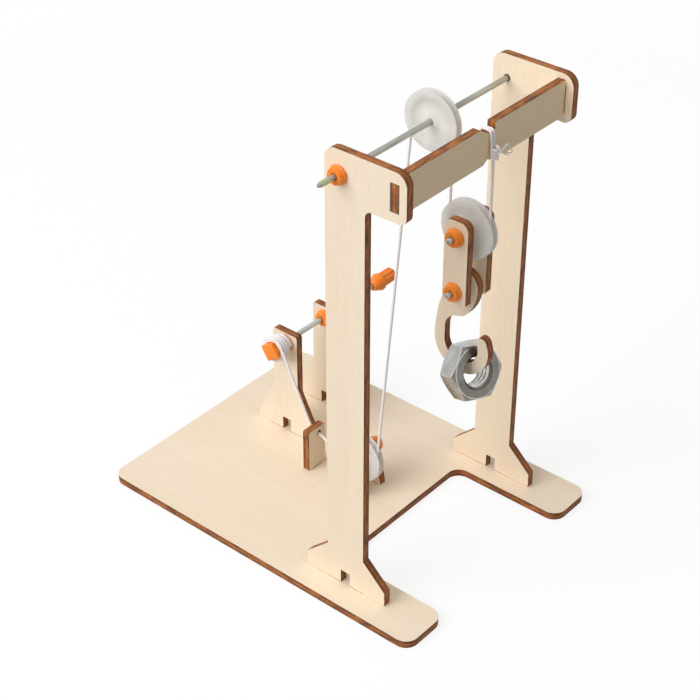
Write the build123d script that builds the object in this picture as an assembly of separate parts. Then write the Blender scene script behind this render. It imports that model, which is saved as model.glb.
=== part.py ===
from build123d import *
import os
from math import asin, atan2, cos, dist, hypot, pi, radians, sin, sqrt, tan

# A classroom pulley demonstrator: a laser-cut plywood gallows on a base plate, a hand winch,
# a guide plate, a pulley at the foot, a pulley on the top axle, and a movable block whose
# hook carries a steel nut. Millimetres. The origin is the middle of the base's underside,
# X runs along the base from the winch to its open end, Y along the axles and Z is up.

# Stock and clearances
ply = 3.0  # thickness of every plywood piece
rod_radius = 1.0
running_fit = 0.05  # radial clearance of a rod that turns in wood
side_play = 0.2  # gap between what turns on a rod and the wood beside it
slot_play = 0.1  # gap on each side of a tab in its slot

# Base plate
base_length = 144.0
base_width = 108.0
base_corner = 5.0
prong_length = 46.5
prong_width = 20.0

# Posts, which stand on the two prongs
frame_height = 175.0  # from the table to the top of the posts
post_span = 82.5  # clear distance between the posts
post_x = 35.9
post_width = 16.0
nose_reach = 15.9  # how far the nose stands out beyond the shank
nose_depth = 17.2
nose_corner = 4.5
nose_under_corner = 3.0
nose_inner_corner = 2.5
post_foot_width = 35.2
post_foot_edge = 5.8
post_foot_slope = 9.0  # height of the slope from the foot's edge to the shank

# Tabs and the notch between them, under every tall upright
notch_width = 4.1
notch_height = 5.6
tab_width = 6.0

# Beam between the two noses, with a waist for the cord
beam_depth = 13.0
beam_drop = 2.0  # below the top of the posts
beam_setback = 4.6  # its middle, behind the end of the noses
tenon_depth = 9.3
tenon_drop = 2.2  # below the top of the beam
waist_end = 3.0  # Y of its upright wall
waist_top = 2.5  # depth of the cut in the top edge
waist_top_width = 3.5
waist_top_lead = 4.0  # length of the slope that leads into it
waist_bottom = 1.8  # depth of the cut in the bottom edge
waist_bottom_width = 2.5
waist_bottom_lead = 3.0
waist_run_out = 7.0  # length of the slope that leads out of it underneath

# Pulleys, all three alike
pulley_radius = 10.5
pulley_width = 2.8
pulley_y = 1.5  # the plane that they all turn in
groove_floor = 7.15
groove_floor_width = 1.4
groove_mouth_width = 2.2
web_width = 2.0
web_inner_radius = 3.0
web_outer_radius = 7.0
hub_radius = 2.5
hub_width = 2.6

# Bushes that hold the rods endways
bush_flange_radius = 3.3
bush_flange_width = 0.8
bush_radius = 2.85
bush_length = 2.3
bush_edge = 0.4  # rounding of the moulded edges
rod_stub = 1.8  # how far a rod stands out of its bush

# Top axle
axle_setback = 2.2  # behind the middle of the posts
axle_drop = 8.4  # below the top of the posts
axle_tip = 7.25  # how far the front end stands out of its bush

# Winch
winch_inset = 32.5  # its shaft, in from the closed end of the base
winch_z = 44.7
winch_y = 9.2  # near face of the near support
winch_gap = 20.0  # clear distance between the supports
winch_top_width = 12.0
winch_top = 4.6  # height of the supports above the shaft
winch_foot_width = 30.0
winch_foot_edge = 2.0
winch_foot_slope = 18.0
winch_corner = 1.0
drum_radius = 4.3
drum_length = 8.5
drum_head = 6.5  # side of the square head
drum_head_width = 1.2
drum_head_turn = 56.0  # degrees
knob_y = 61.0
knob_cone_radius = 2.0
knob_cone_length = 4.0
knob_flange_radius = 3.65
knob_flange_width = 0.8
knob_grip_radius = 3.0
knob_grip_length = 8.0
knob_ribs = 8
knob_rib_radius = 0.8
knob_cover = 1.2  # closed end beyond the shaft

# Guide plate
guide_inset = 54.8  # its middle, in from the closed end of the base
guide_width = 9.2
guide_height = 17.8
guide_corner = 0.8
guide_tab_width = 5.0
guide_hole_radius = 1.1
guide_hole_y = 1.0
guide_hole_z = 18.2

# Pulley at the foot, between two brackets
foot_pulley_x = 4.3
foot_pulley_z = 17.3
bracket_foot_width = 12.0
bracket_top_width = 6.0
bracket_top = 2.8  # height of the brackets above the pin
bracket_corner = 2.2
bracket_gap = 9.4  # clear distance between the brackets

# Movable block
block_z = 133.0  # the height of its pulley
block_pitch = 20.7  # from the pulley's pin down to the hook's pin
block_gap = 8.0  # clear distance between the cheeks
cheek_width = 9.5
cheek_top = 5.8  # above the upper pin
cheek_bottom = 4.8  # below the lower pin
cheek_corner = 3.0
cheek_foot_corner = 1.0

# Hook, measured from its pin
hook_shift = -0.2  # middle of the bowl, beside the pin
hook_drop = 24.0  # middle of the bowl, below the pin
bowl_radius = 7.0
arm_width = 4.2
tip_angle = 24.0
hook_head_radius = 5.6
chin_x = 0.2
chin_drop = 12.6
chin_heading = 197.0  # degrees, the way the outline runs on from the chin
chin_length = 3.35
chin_corner = 4.0

# Load
nut_across_flats = 19.0
nut_height = 8.0
nut_bore_radius = 5.1
nut_countersink = 1.2
nut_edge_slope = 30.0  # degrees, of the chamfer on the six corners
nut_edge_inset = 0.3  # how far inside the flats the chamfer meets the end face
nut_angle = -70.0  # where it hangs round the bowl
nut_clock = 21.0  # how far its corners have turned about its bore
nut_yaw = -14.0  # how far it has turned on the hook, towards the front
nut_clearance = 0.65  # between its bore and the hook

# Cord
cord_radius = 0.55
cord_gap = 0.3  # between the cord and what it runs round
coil_gap = 0.15  # between the wound cord and the drum
coil_pitch = 1.55
coil_turns = 3.75
cord_stub = 1.0  # straight end of a cord beside a pulley
tie_end = 2.3  # how far below the tie's loops its first end lies
tie_y = 0.5  # where the first loop crosses the top of the beam
tie_pitch = 1.6  # from one loop to the next
tie_lean = 0.8  # how far a loop drifts along the beam on its way down
tie_cross = 1.7  # and on its way under the beam
tie_front_gap = 0.45  # between the loops and the turn in front of them
fillet_share = 0.998  # part of a pulley's bend that the arcs take, the rest being straight

# Places worked out from the sizes above
cord_bend = groove_floor + cord_gap + cord_radius  # radius of the cord's middle on a pulley
winch_x = winch_inset - base_length / 2
guide_x = guide_inset - base_length / 2
axle_x = post_x - axle_setback
axle_z = frame_height - axle_drop
beam_x = post_x + post_width / 2 + nose_reach - beam_setback
beam_top = frame_height - beam_drop
block_x = axle_x + 2 * cord_bend  # the cord hangs from one pulley's rim to the next one's
strand_x = block_x + cord_bend
hook_pin_z = block_z - block_pitch
near_post_y = -post_span / 2 - ply
far_post_y = post_span / 2
far_winch_y = winch_y + ply + winch_gap
near_bracket_y = pulley_y - bracket_gap / 2 - ply
far_bracket_y = pulley_y + bracket_gap / 2
near_cheek_y = pulley_y - block_gap / 2 - ply
far_cheek_y = pulley_y + block_gap / 2
drum_y = winch_y - side_play - drum_length
coil_radius = drum_radius + coil_gap + cord_radius
coil_y = drum_y + drum_head_width + coil_gap + cord_radius  # where the cord leaves the drum
tab_offset = (notch_width + tab_width) / 2


def plate_xz(outline, y):
    """Cut a plate from an outline drawn in X and Z; it fills Y from y to y + ply."""
    return extrude(Plane.XZ.offset(-y - ply) * outline, amount=ply)


def plate_yz(outline, x):
    """Cut a plate from an outline drawn in Y and Z, with its middle at x."""
    return extrude(Plane.YZ.offset(x - ply / 2) * outline, amount=ply)


def box_outline(x0, x1, z0, z1):
    return Pos((x0 + x1) / 2, (z0 + z1) / 2) * Rectangle(x1 - x0, z1 - z0)


def rounded(outline, corners):
    """Round the outline's corners that lie nearest the given places."""
    for x, z, radius in corners:
        corner = outline.vertices().sort_by_distance((x, z, 0))[0]
        outline = fillet(corner, radius)
    return outline


def rod(x, z, y0, y1, radius=rod_radius):
    """A round bar along Y."""
    return Pos(x, (y0 + y1) / 2, z) * Rot(X=90) * Cylinder(radius, abs(y1 - y0))


def hole(x, z, clearance=running_fit):
    """Outline of a rod's hole."""
    return Pos(x, z) * Circle(rod_radius + clearance)


def turned(points, x, y, z):
    """Turn a section given as radius and Y about an axle at x, z; y shifts it along."""
    section = make_face(Polyline(*points, close=True))
    return Pos(x, y, z) * revolve(section, Axis.Y)


def tall_foot(x, half_foot, edge, slope, half_shank, top):
    """Outline of an upright with a spreading foot that stands on the base plate."""
    points = [(-half_foot, ply), (-half_foot, ply + edge), (-half_shank, ply + edge + slope)]
    points += [(-half_shank, top)]
    points += [(-px, pz) for px, pz in reversed(points)]
    return Pos(x, 0) * make_face(Polyline(*points, close=True))


def tabs_and_notch(outline, x):
    """Add the two tabs that go through the base, and cut the notch between them."""
    notch = box_outline(x - notch_width / 2, x + notch_width / 2, 0, ply + notch_height)
    for middle in (x - tab_offset, x + tab_offset):
        outline += box_outline(middle - tab_width / 2, middle + tab_width / 2, 0, ply)
    return outline - notch


def base_plate():
    """Base with a cut-out at its open end, so that the load can sink to the table."""
    half_opening = base_width / 2 - prong_width
    opening = Pos(base_length / 2, 0) * Rectangle(2 * prong_length, 2 * half_opening)
    outline = Rectangle(base_length, base_width) - opening
    plate = extrude(fillet(outline.vertices(), base_corner), amount=ply)
    uprights = [(post_x, near_post_y), (post_x, far_post_y), (winch_x, winch_y), (winch_x, far_winch_y)]
    slots = [(x + side * tab_offset, y) for x, y in uprights for side in (-1, 1)]
    slots += [(foot_pulley_x, near_bracket_y), (foot_pulley_x, far_bracket_y)]
    for x, y in slots:
        plate -= slot(x, y + ply / 2, tab_width, ply)
    return plate - slot(guide_x, 0, ply, guide_tab_width)


def slot(x, y, length, width):
    """The hole in the base for a tab of the given size."""
    return Pos(x, y, ply / 2) * Box(length + 2 * slot_play, width + 2 * slot_play, 2 * ply)


def post(y):
    """Upright with a nose at its top that holds the beam."""
    half = post_width / 2
    outline = tall_foot(post_x, post_foot_width / 2, post_foot_edge, post_foot_slope, half,
                        frame_height)
    shank = post_x + half
    tip = shank + nose_reach
    under = frame_height - nose_depth
    outline += box_outline(post_x, tip, under, frame_height)
    outline = rounded(outline, [
        (post_x - half, frame_height, nose_corner),
        (tip, frame_height, nose_corner),
        (tip, under, nose_under_corner),
        (shank, under, nose_inner_corner),
    ])
    tenon_top = beam_top - tenon_drop
    outline = tabs_and_notch(outline, post_x) - hole(axle_x, axle_z)
    outline -= box_outline(beam_x - ply / 2, beam_x + ply / 2, tenon_top - tenon_depth, tenon_top)
    return plate_xz(outline, y)


def cross_beam():
    """Beam on edge, with a tenon at each end and a waist where the cord is tied."""
    bottom = beam_top - beam_depth
    top_start = waist_end - waist_top_width
    top_cut = [(top_start - waist_top_lead, beam_top), (top_start, beam_top - waist_top),
               (waist_end, beam_top - waist_top), (waist_end, beam_top)]
    low_start = waist_end - waist_bottom_width
    low_cut = [(low_start - waist_bottom_lead, bottom), (low_start, bottom + waist_bottom),
               (waist_end, bottom + waist_bottom), (waist_end + waist_run_out, bottom)]
    tenon_top = beam_top - tenon_drop
    half = post_span / 2
    outline = box_outline(-half, half, bottom, beam_top)
    outline += box_outline(-half - ply, half + ply, tenon_top - tenon_depth, tenon_top)
    for cut in (top_cut, low_cut):
        outline -= make_face(Polyline(*cut, close=True))
    return plate_yz(outline, beam_x)


def winch_support(y):
    """Upright with a spreading foot and a hole for the winch shaft."""
    half = winch_top_width / 2
    top = winch_z + winch_top
    outline = tall_foot(winch_x, winch_foot_width / 2, winch_foot_edge, winch_foot_slope, half, top)
    outline = rounded(outline, [(winch_x + side * half, top, winch_corner) for side in (-1, 1)])
    return plate_xz(tabs_and_notch(outline, winch_x) - hole(winch_x, winch_z), y)


def guide_plate():
    """Small plate across the base with a hole that leads the cord to the winch."""
    half = guide_width / 2
    top = ply + guide_height
    outline = box_outline(-half, half, ply, top)
    outline = rounded(outline, [(side * half, top, guide_corner) for side in (-1, 1)])
    outline += box_outline(-guide_tab_width / 2, guide_tab_width / 2, 0, ply)
    outline -= Pos(guide_hole_y, guide_hole_z) * Circle(guide_hole_radius)
    return plate_yz(outline, guide_x)


def pulley_bracket(y):
    """Narrow upright beside the pulley at the foot."""
    top = foot_pulley_z + bracket_top
    foot = bracket_foot_width / 2
    head = bracket_top_width / 2
    points = [(-foot, ply), (-head, top), (head, top), (foot, ply)]
    outline = Pos(foot_pulley_x, 0) * make_face(Polyline(*points, close=True))
    outline = rounded(outline, [(foot_pulley_x + side * head, top, bracket_corner)
                                for side in (-1, 1)])
    outline += box_outline(foot_pulley_x - tab_width / 2, foot_pulley_x + tab_width / 2, 0, ply)
    return plate_xz(outline - hole(foot_pulley_x, foot_pulley_z), y)


def pulley(x, z):
    """Moulded pulley with a V groove and a dished web, pressed on its rod."""
    side = [(rod_radius, hub_width / 2), (hub_radius, hub_width / 2),
            (web_inner_radius, web_width / 2), (web_outer_radius, web_width / 2),
            (web_outer_radius + (pulley_width - web_width) / 2, pulley_width / 2),
            (pulley_radius, pulley_width / 2), (pulley_radius, groove_mouth_width / 2),
            (groove_floor, groove_floor_width / 2)]
    mirrored = [(r, -y) for r, y in reversed(side)]
    return turned(side + mirrored, x, pulley_y, z)


def bush(x, z, face, side, play=side_play):
    """Bush on a rod, its flange beside the wood whose face is at Y = face."""
    start = face + side * play
    flange = rod(x, z, start, start + side * bush_flange_width, bush_flange_radius)
    body = flange + rod(x, z, start, start + side * bush_length, bush_radius)
    rims = body.edges().filter_by(GeomType.CIRCLE).sort_by(Axis.Y)
    body = fillet(rims[0 if side < 0 else -1], bush_edge)
    return body - rod(x, z, start, start + side * bush_length)


def bush_end(face, side, play=side_play):
    """Where the outer end of a bush lies."""
    return face + side * (play + bush_length)


def winch_drum():
    """Spool with a square head; the cord winds on its core."""
    head = Rot(Y=drum_head_turn) * Box(drum_head, drum_head_width, drum_head)
    head = Pos(winch_x, drum_y + drum_head_width / 2, winch_z) * head
    core_start = drum_y + drum_head_width
    core = rod(winch_x, winch_z, core_start, drum_y + drum_length, drum_radius)
    return head + core - rod(winch_x, winch_z, core_start, drum_y + drum_length)


def knob_grip(start):
    """Fluted grip of the winding knob, with a rounded end."""
    grip = rod(winch_x, winch_z, start, start + knob_grip_length, knob_grip_radius)
    end_rim = grip.edges().filter_by(GeomType.CIRCLE).sort_by(Axis.Y)[-1]
    grip = fillet(end_rim, knob_grip_radius / 2)
    reach = knob_grip_radius + knob_rib_radius / 2
    for step in range(knob_ribs):
        turn = 2 * pi * step / knob_ribs
        flute_x = winch_x + reach * cos(turn)
        flute_z = winch_z + reach * sin(turn)
        grip -= rod(flute_x, flute_z, start, start + 2 * knob_grip_length, knob_rib_radius)
    return grip


def winding_knob():
    """Knob on the far end of the shaft: a cone, a flange and a fluted grip."""
    flange_y = knob_cone_length + knob_flange_width
    points = [(0, 0), (knob_cone_radius, 0), (knob_flange_radius, knob_cone_length),
              (knob_flange_radius, flange_y), (0, flange_y)]
    body = turned(points, winch_x, knob_y, winch_z) + knob_grip(knob_y + flange_y)
    return body - rod(winch_x, winch_z, knob_y - 1, shaft_end())


def shaft_end():
    return knob_y + knob_cone_length + knob_flange_width + knob_grip_length - knob_cover


def block_cheek(y):
    """Side plate of the movable block."""
    half = cheek_width / 2
    top = block_z + cheek_top
    bottom = hook_pin_z - cheek_bottom
    outline = box_outline(block_x - half, block_x + half, bottom, top)
    outline = rounded(outline, [(block_x + side * half, z, radius) for side in (-1, 1)
                                for z, radius in ((top, cheek_corner), (bottom, cheek_foot_corner))])
    outline -= hole(block_x, block_z) + hole(block_x, hook_pin_z, 0)
    return plate_xz(outline, y)


def hook():
    """Plywood hook that swings on the lower pin, drawn from that pin as the origin."""
    bowl = Vector(hook_shift, -hook_drop)
    outer = bowl_radius + arm_width
    along = Vector(cos(radians(tip_angle)), sin(radians(tip_angle)))
    beyond = Vector(-along.Y, along.X)
    tip_out = bowl + along * outer
    tip_in = bowl + along * bowl_radius
    tip_end = bowl + along * (bowl_radius + arm_width / 2) + beyond * (arm_width / 2)
    outer_left = bowl + Vector(-outer, 0)
    inner_left = bowl + Vector(-bowl_radius, 0)
    chin = Vector(chin_x, -chin_drop)
    heading = Vector(cos(radians(chin_heading)), sin(radians(chin_heading)))
    throat = chin + heading * chin_length
    throat_radius = (throat.X - inner_left.X) / (1 + heading.Y)
    neck = Vector(inner_left.X, throat.Y + heading.X * throat_radius)
    edges = [
        ThreePointArc(tip_out, bowl + Vector(0, -outer), outer_left),
        TangentArc(outer_left, Vector(-hook_head_radius, 0), tangent=(0, 1)),
        ThreePointArc((-hook_head_radius, 0), (0, hook_head_radius), (hook_head_radius, 0)),
        TangentArc(Vector(hook_head_radius, 0), chin, tangent=(0, -1)),
        Line(chin, throat),
        TangentArc(throat, neck, tangent=heading),
        Line(neck, inner_left),
        ThreePointArc(inner_left, bowl + Vector(0, -bowl_radius), tip_in),
        ThreePointArc(tip_in, tip_end, tip_out),
    ]
    outline = rounded(make_face(edges), [(chin.X, chin.Y, chin_corner)])
    outline -= Circle(rod_radius + running_fit)
    return plate_xz(Pos(block_x, hook_pin_z) * outline, pulley_y - ply / 2)


def nut_middle():
    """Middle of the nut, which hangs by its bore on the inside of the hook's bowl."""
    reach = nut_height / 2 - nut_countersink
    seat = sqrt(bowl_radius**2 - reach**2)
    yaw = radians(abs(nut_yaw))
    beside = ply / 2 * cos(yaw) + reach * sin(yaw)
    drop = seat + sqrt(nut_bore_radius**2 - beside**2) - nut_clearance
    turn = radians(nut_angle)
    x = block_x + hook_shift + drop * cos(turn)
    return x, pulley_y, hook_pin_z - hook_drop + drop * sin(turn)


def hex_nut():
    """Steel nut with chamfered corners and a countersunk bore, hung on the hook."""
    half = nut_height / 2
    corner = nut_across_flats / sqrt(3)
    slope = tan(radians(nut_edge_slope))
    outline = RegularPolygon(corner, 6)
    body = extrude(Pos(0, 0, -half) * outline, amount=nut_height)
    crown = nut_across_flats / 2 - nut_edge_inset
    top = half + slope * crown
    section = make_face(Polyline((0, -top), (top / slope, 0), (0, top), close=True))
    body &= Rot(X=90) * revolve(section, Axis.Y)
    sink = nut_bore_radius + nut_countersink
    bore = make_face(Polyline(
        (0, -half), (sink, -half), (nut_bore_radius, nut_countersink - half),
        (nut_bore_radius, half - nut_countersink), (sink, half), (0, half), close=True))
    body -= Rot(X=90) * revolve(bore, Axis.Y)
    return Pos(*nut_middle()) * Rot(Z=nut_yaw) * Rot(Y=-nut_angle) * Rot(Z=nut_clock) * body


def round_wire(path):
    """Sweep the cord's round section along a path."""
    section = Plane(path @ 0, z_dir=path % 0) * Circle(cord_radius)
    return sweep(section, path=path)


def heading_between(start, start_side, end, end_side):
    """Direction of a tight cord from one wheel to the next, in X and Z.

    A side is the wheel's radius, positive if the cord goes round it clockwise as seen
    from the front, negative if anticlockwise and zero if the cord starts at a point.
    """
    dx = end[0] - start[0]
    dz = end[1] - start[1]
    return atan2(dz, dx) - asin((start_side - end_side) / hypot(dx, dz))


def wrap_corners(middle, side, heading_in, heading_out):
    """The two corners whose fillets carry the cord round a wheel."""
    step = (heading_out - heading_in) / 2
    reach = side / cos(step / 2)
    headings = (heading_in + step / 2, heading_in + 3 * step / 2)
    return [(middle[0] - reach * sin(h), pulley_y, middle[1] + reach * cos(h)) for h in headings]


def guide_points():
    """Where the cord bends on each side of the guide plate's hole."""
    clear = ply / 2 + cord_radius
    return [(guide_x - clear, guide_hole_y, guide_hole_z + 0.1),
            (guide_x + clear, guide_hole_y, guide_hole_z - 0.45)]


def drum_heading():
    """Direction in which the cord leaves the drum for the guide plate."""
    entry = guide_points()[0]
    return heading_between((winch_x, winch_z), coil_radius, (entry[0], entry[2]), 0)


def coil_point(turn):
    """Point and direction on the wound cord, turn radians back from where it leaves."""
    angle = drum_heading() + pi / 2 + turn
    rise = coil_pitch / (2 * pi)
    point = Vector(winch_x + coil_radius * cos(angle), coil_y + rise * turn,
                   winch_z + coil_radius * sin(angle))
    direction = Vector(-coil_radius * sin(angle), rise, coil_radius * cos(angle)).normalized()
    return point, direction


def biarc(start, start_way, end, end_way):
    """Two arcs that carry a coil from one point and direction to the next."""
    chord = end - start
    ways = start_way + end_way
    a = 2 * (start_way.dot(end_way) - 1)
    b = -2 * chord.dot(ways)
    c = chord.dot(chord)
    reach = (-b - sqrt(b * b - 4 * a * c)) / (2 * a)
    if reach < 0:
        reach = (-b + sqrt(b * b - 4 * a * c)) / (2 * a)
    first = start + start_way * reach
    last = end - end_way * reach
    middle = (first + last) / 2
    return [TangentArc(start, middle, tangent=start_way),
            TangentArc(middle, end, tangent=(last - first).normalized())]


def drum_winding():
    """The outer layer of cord on the drum, with a straight end of one diameter each way."""
    quarter = pi / 2
    steps = round(coil_turns * 4)
    places = [coil_point(quarter * step) for step in range(steps + 1)]
    stub = 2 * cord_radius
    edges = [Line(places[0][0] - places[0][1] * stub, places[0][0])]
    for (start, start_way), (end, end_way) in zip(places, places[1:]):
        edges += biarc(start, start_way, end, end_way)
    edges += [Line(places[-1][0], places[-1][0] + places[-1][1] * stub)]
    return Wire(edges)


def run_route():
    """The cord from the drum through the guide, under one pulley and over the next."""
    exit_point, exit_way = coil_point(0)
    entry, leave = guide_points()
    foot = (foot_pulley_x, foot_pulley_z)
    top = (axle_x, axle_z)
    to_foot = heading_between((leave[0], leave[2]), 0, foot, -cord_bend)
    to_top = heading_between(foot, -cord_bend, top, cord_bend)
    points = [tuple(exit_point - exit_way * (2 * cord_radius)), entry, leave]
    points += wrap_corners(foot, -cord_bend, to_foot, to_top)
    points += wrap_corners(top, cord_bend, to_top, -pi / 2)
    points += [(axle_x + cord_bend, pulley_y, axle_z - cord_stub)]
    bend = cord_bend * fillet_share
    return points, [6 * cord_radius, 12 * cord_radius, bend, bend, bend, bend]


def tie_route():
    """Two loops round the beam's waist, then a turn across the front and a loose end."""
    front = strand_x
    back = beam_x - (strand_x - beam_x)
    offset = strand_x - beam_x - ply / 2
    high = beam_top - waist_top + offset
    low = beam_top - beam_depth + waist_bottom - offset
    across = front + 2 * cord_radius + tie_front_gap
    points = [(front, pulley_y, low - tie_end), (front, pulley_y, low - tie_end / 2)]
    for y in (tie_y, tie_y + tie_pitch):
        points += [(front, y, high), (back, y, high), (back, y + tie_lean, low),
                   (front, y + tie_lean + tie_cross, low)]
    points += [(across, 5.6, low + 1.7), (across, -1.2, low + 2.0), (across, -1.2, low + 4.5),
               (across + 0.3, 9.6, low + 5.0)]
    return points, [6 * cord_radius] + [1.4] * 8 + [1.2] * 3


def straight_cord(x, z0, z1):
    """An upright stretch of cord in the pulleys' plane."""
    return Pos(x, pulley_y, (z0 + z1) / 2) * Cylinder(cord_radius, z1 - z0)


def block_wrap():
    """The bight of cord that carries the block's pulley."""
    left = block_x - cord_bend
    top = block_z + cord_stub
    return Wire([
        Line((left, pulley_y, top), (left, pulley_y, block_z)),
        ThreePointArc((left, pulley_y, block_z), (block_x, pulley_y, block_z - cord_bend),
                      (strand_x, pulley_y, block_z)),
        Line((strand_x, pulley_y, block_z), (strand_x, pulley_y, top)),
    ])


def least_coil_gap():
    """Least distance between the surfaces of neighbouring turns, measured on points."""
    samples = 72
    turns = int(coil_turns * samples)
    points = [tuple(coil_point(2 * pi * i / samples)[0]) for i in range(turns + 1)]
    gaps = [dist(points[i], points[j]) for i in range(turns + 1)
            for j in range(i + samples // 2, turns + 1)]
    return min(gaps) - 2 * cord_radius


def least_route_gap(points):
    """Least distance between the surfaces of a route's runs that aren't neighbours."""
    steps = 40
    runs = [[Vector(*a) + (Vector(*b) - Vector(*a)) * (i / steps) for i in range(steps + 1)]
            for a, b in zip(points, points[1:])]
    gaps = [(p - q).length for i, run in enumerate(runs) for other in runs[i + 2:]
            for p in run for q in other]
    return min(gaps) - 2 * cord_radius


def report_tube(name, path, tube):
    """Print how the tube's volume compares with its section times its length."""
    expected = pi * cord_radius**2 * path.length
    print(f"{name}: length {path.length:.1f}, volume ratio {tube.volume / expected:.4f}")


# Nodes, each a piece that comes apart on a bench
parts = {}

parts["base_plate"] = base_plate()
parts["front_post"] = post(near_post_y)
parts["rear_post"] = post(far_post_y)
parts["cross_beam"] = cross_beam()
parts["near_winch_support"] = winch_support(winch_y)
parts["far_winch_support"] = winch_support(far_winch_y)
parts["guide_plate"] = guide_plate()
parts["near_pulley_bracket"] = pulley_bracket(near_bracket_y)
parts["far_pulley_bracket"] = pulley_bracket(far_bracket_y)

# Top pulley on its axle
post_faces = {"front": (near_post_y, -1), "rear": (far_post_y + ply, 1)}
parts["top_axle"] = rod(axle_x, axle_z, bush_end(near_post_y, -1) - axle_tip,
                        bush_end(far_post_y + ply, 1) + rod_stub)
parts["top_pulley"] = pulley(axle_x, axle_z)
for place, (face, side) in post_faces.items():
    parts[f"top_axle_{place}_bush"] = bush(axle_x, axle_z, face, side)

# Winch
parts["winch_shaft"] = rod(winch_x, winch_z, drum_y + drum_head_width, shaft_end())
parts["winch_drum"] = winch_drum()
parts["winding_knob"] = winding_knob()
parts["winch_inner_bush"] = bush(winch_x, winch_z, far_winch_y, -1)
parts["winch_outer_bush"] = bush(winch_x, winch_z, far_winch_y + ply, 1)

# Pulley at the foot
bracket_faces = {"near": (near_bracket_y, -1), "far": (far_bracket_y + ply, 1)}
parts["foot_pulley"] = pulley(foot_pulley_x, foot_pulley_z)
parts["foot_pulley_pin"] = rod(foot_pulley_x, foot_pulley_z, bush_end(near_bracket_y, -1) - rod_stub,
                               bush_end(far_bracket_y + ply, 1) + rod_stub)
for place, (face, side) in bracket_faces.items():
    parts[f"foot_pulley_{place}_bush"] = bush(foot_pulley_x, foot_pulley_z, face, side)

# Movable block: the pulley's pin turns in the cheeks, the hook's pin is tight in them
parts["near_block_cheek"] = block_cheek(near_cheek_y)
parts["far_block_cheek"] = block_cheek(far_cheek_y)
parts["block_pulley"] = pulley(block_x, block_z)
cheek_faces = {"near": (near_cheek_y, -1), "far": (far_cheek_y + ply, 1)}
for pin, z, play in (("block_pulley", block_z, side_play), ("hook", hook_pin_z, 0)):
    ends = [bush_end(face, side, play) + side * rod_stub for face, side in cheek_faces.values()]
    parts[f"{pin}_pin"] = rod(block_x, z, *ends)
    for place, (face, side) in cheek_faces.items():
        parts[f"{pin}_{place}_bush"] = bush(block_x, z, face, side, play)
parts["hook"] = hook()
parts["hex_nut"] = hex_nut()

# Cord, in stretches that lie still, turn with the drum, ride on the block or change length
winding_path = drum_winding()
run_points, run_radii = run_route()
run_path = FilletPolyline(*run_points, radius=run_radii)
tie_points, tie_radii = tie_route()
tie_path = FilletPolyline(*tie_points, radius=tie_radii)
wrap_path = block_wrap()
for name, path in (("cord_drum_winding", winding_path), ("cord_run", run_path),
                   ("cord_beam_tie", tie_path), ("cord_block_wrap", wrap_path)):
    parts[name] = round_wire(path)
    report_tube(name, path, parts[name])
parts["cord_hoist_strand"] = straight_cord(block_x - cord_bend, block_z + cord_stub, axle_z - cord_stub)
parts["cord_fixed_strand"] = straight_cord(strand_x, block_z + cord_stub, tie_points[0][2])
print("radii of the run:", [round(radius, 2) for radius in run_radii])
print("radii of the tie:", tie_radii)
print(f"least gap between turns on the drum: {least_coil_gap():.2f}")
print(f"least gap between runs of the tie: {least_route_gap(tie_points):.2f}")

os.makedirs("parts", exist_ok=True)
for name, solid in parts.items():
    export_step(solid, f"parts/{name}.step")
print(len(parts), "nodes")
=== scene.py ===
from math import cos, pi, radians, sin, sqrt, tan

import bmesh
import bpy
from mathutils import Matrix, Vector


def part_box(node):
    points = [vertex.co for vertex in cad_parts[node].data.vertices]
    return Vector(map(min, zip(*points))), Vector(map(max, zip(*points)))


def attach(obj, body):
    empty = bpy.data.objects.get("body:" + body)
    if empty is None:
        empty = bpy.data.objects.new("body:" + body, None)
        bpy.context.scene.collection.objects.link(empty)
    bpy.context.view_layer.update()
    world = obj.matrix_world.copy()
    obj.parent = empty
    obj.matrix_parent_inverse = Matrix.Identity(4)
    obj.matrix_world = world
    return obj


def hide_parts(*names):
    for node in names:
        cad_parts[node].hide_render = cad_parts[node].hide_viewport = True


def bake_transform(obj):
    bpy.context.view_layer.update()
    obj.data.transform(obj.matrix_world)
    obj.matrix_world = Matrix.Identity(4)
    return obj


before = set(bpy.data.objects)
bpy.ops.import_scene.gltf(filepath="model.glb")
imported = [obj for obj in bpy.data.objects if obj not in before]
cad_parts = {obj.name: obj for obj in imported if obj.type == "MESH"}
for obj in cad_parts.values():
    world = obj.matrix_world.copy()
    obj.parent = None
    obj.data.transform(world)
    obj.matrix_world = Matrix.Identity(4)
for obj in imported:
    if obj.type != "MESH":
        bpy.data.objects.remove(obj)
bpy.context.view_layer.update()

mm = 0.001
along_x, along_y, along_z = Vector((1, 0, 0)), Vector((0, 1, 0)), Vector((0, 0, 1))


# Base plate. A sheet of 3 mm three-layer plywood with a pale sanded face. The laser that cuts
# it scorches every edge brown, and the edge shows the two glue lines between its layers.
ply = 3 * mm


def paint(red, green, blue):
    """A colour given in the steps of a colour chart, 0 to 255, as the shaders want it."""
    steps = [value / 255 for value in (red, green, blue)]
    return (*[s / 12.92 if s < 0.04 else ((s + 0.055) / 1.055) ** 2.4 for s in steps], 1)


def node_tools(tree):
    """The functions that wire a node's inputs and that add a wired node to a node tree."""
    def wire(node, sockets):
        for socket, value in sockets.items():
            if isinstance(value, bpy.types.NodeSocket):
                tree.links.new(value, node.inputs[socket])
            else:
                node.inputs[socket].default_value = value

    def add(kind, sockets, output=0, **settings):
        node = tree.nodes.new("ShaderNode" + kind)
        for setting, value in settings.items():
            setattr(node, setting, value)
        wire(node, sockets)
        return node.outputs[output]

    return wire, add


def new_finish(name):
    """A new material, its shader, and the functions that wire and add nodes in it."""
    finish = bpy.data.materials.new(name)
    finish.use_nodes = True
    return finish, finish.node_tree.nodes["Principled BSDF"], *node_tools(finish.node_tree)


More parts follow.
